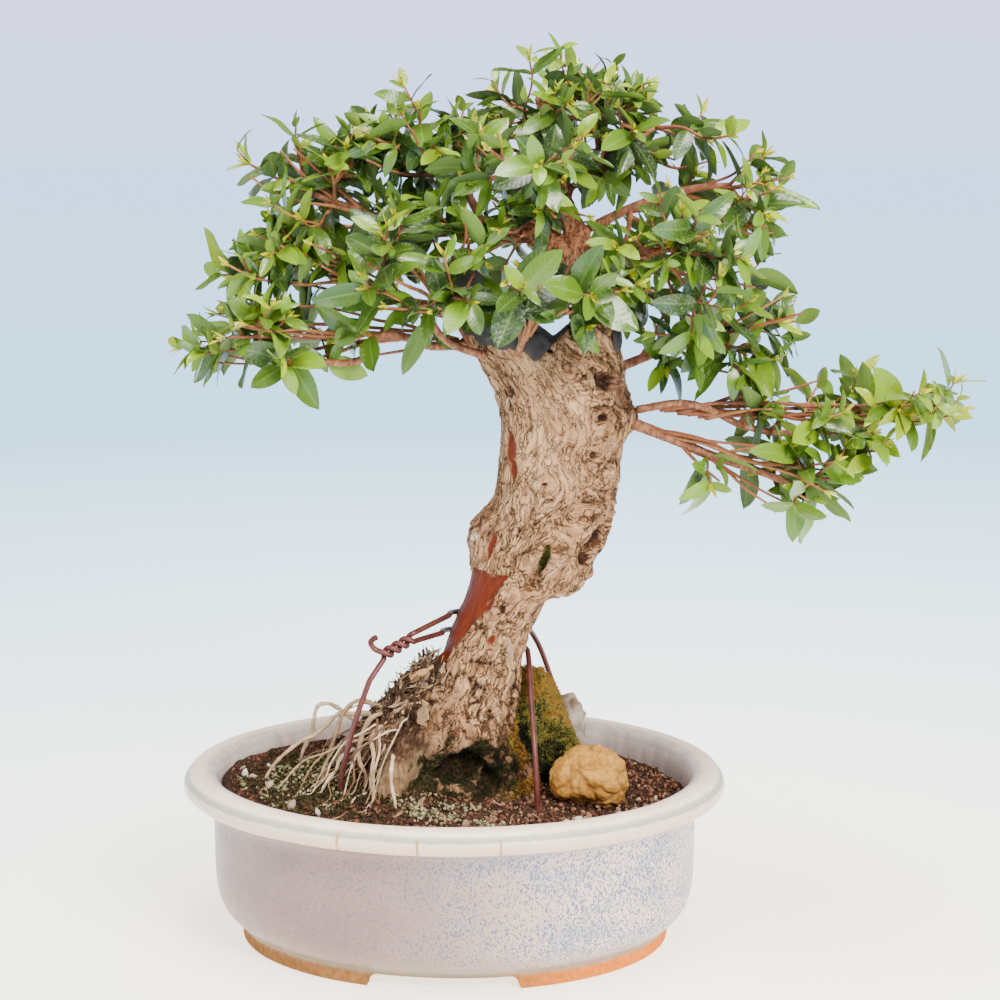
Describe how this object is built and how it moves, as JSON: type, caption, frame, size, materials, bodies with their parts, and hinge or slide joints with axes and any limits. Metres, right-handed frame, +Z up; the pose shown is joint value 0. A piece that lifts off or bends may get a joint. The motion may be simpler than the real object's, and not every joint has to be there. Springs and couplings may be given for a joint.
{
  "type": "common myrtle bonsai in an oval pot",
  "caption": "Old leaning myrtle bonsai with an open crown of opposite leaves, wired into an oval glazed pot with exposed roots, moss and stones",
  "frame": {"origin": "on the surface that the pot stands on, under the middle of the whole tree's box", "axes": "+Z up along the trunk, +X to the right as seen from the front, +Y to the back"},
  "size_m": [0.3898, 0.226, 0.4485],
  "materials": {
    "pot_glaze": "satin lilac-grey glaze with blue speckles, bare terracotta foot",
    "drain_mesh": "plain black plastic mesh",
    "soil": "moist reddish-brown granular bonsai soil",
    "bark": "cracked pale bark with a peeled reddish strip",
    "cut_paste": "matt dark grey cut putty",
    "wire": "reddish-brown anodised wire",
    "moss": "dark green and orange moss over rough rock",
    "grey_stone": "rough pale grey stone",
    "yellow_stone": "lumpy yellow-buff stone",
    "foliage": "glossy leaves on reddish-brown twigs"
  },
  "bodies": {
    "root": {"pot": "pot_glaze", "drain_mesh_left": "drain_mesh", "drain_mesh_right": "drain_mesh", "soil": "soil", "trunk": "bark", "cut_paste": "cut_paste", "wire_front": "wire", "wire_back": "wire", "mossy_rock": "moss", "grey_stone": "grey_stone", "yellow_stone": "yellow_stone", "bough_low_left": "foliage", "bough_left_middle": "foliage", "bough_front_left": "foliage", "bough_front": "foliage", "bough_left_high": "foliage", "bough_left_back": "foliage", "bough_top_left": "foliage", "bough_top_front": "foliage", "bough_top": "foliage", "bough_top_right": "foliage", "bough_right_high": "foliage", "bough_right_front": "foliage", "bough_right_middle": "foliage", "bough_right_back": "foliage", "bough_back": "foliage", "bough_back_top": "foliage", "bough_tail": "foliage", "bough_low_right": "foliage"}
  },
  "joints": []
}
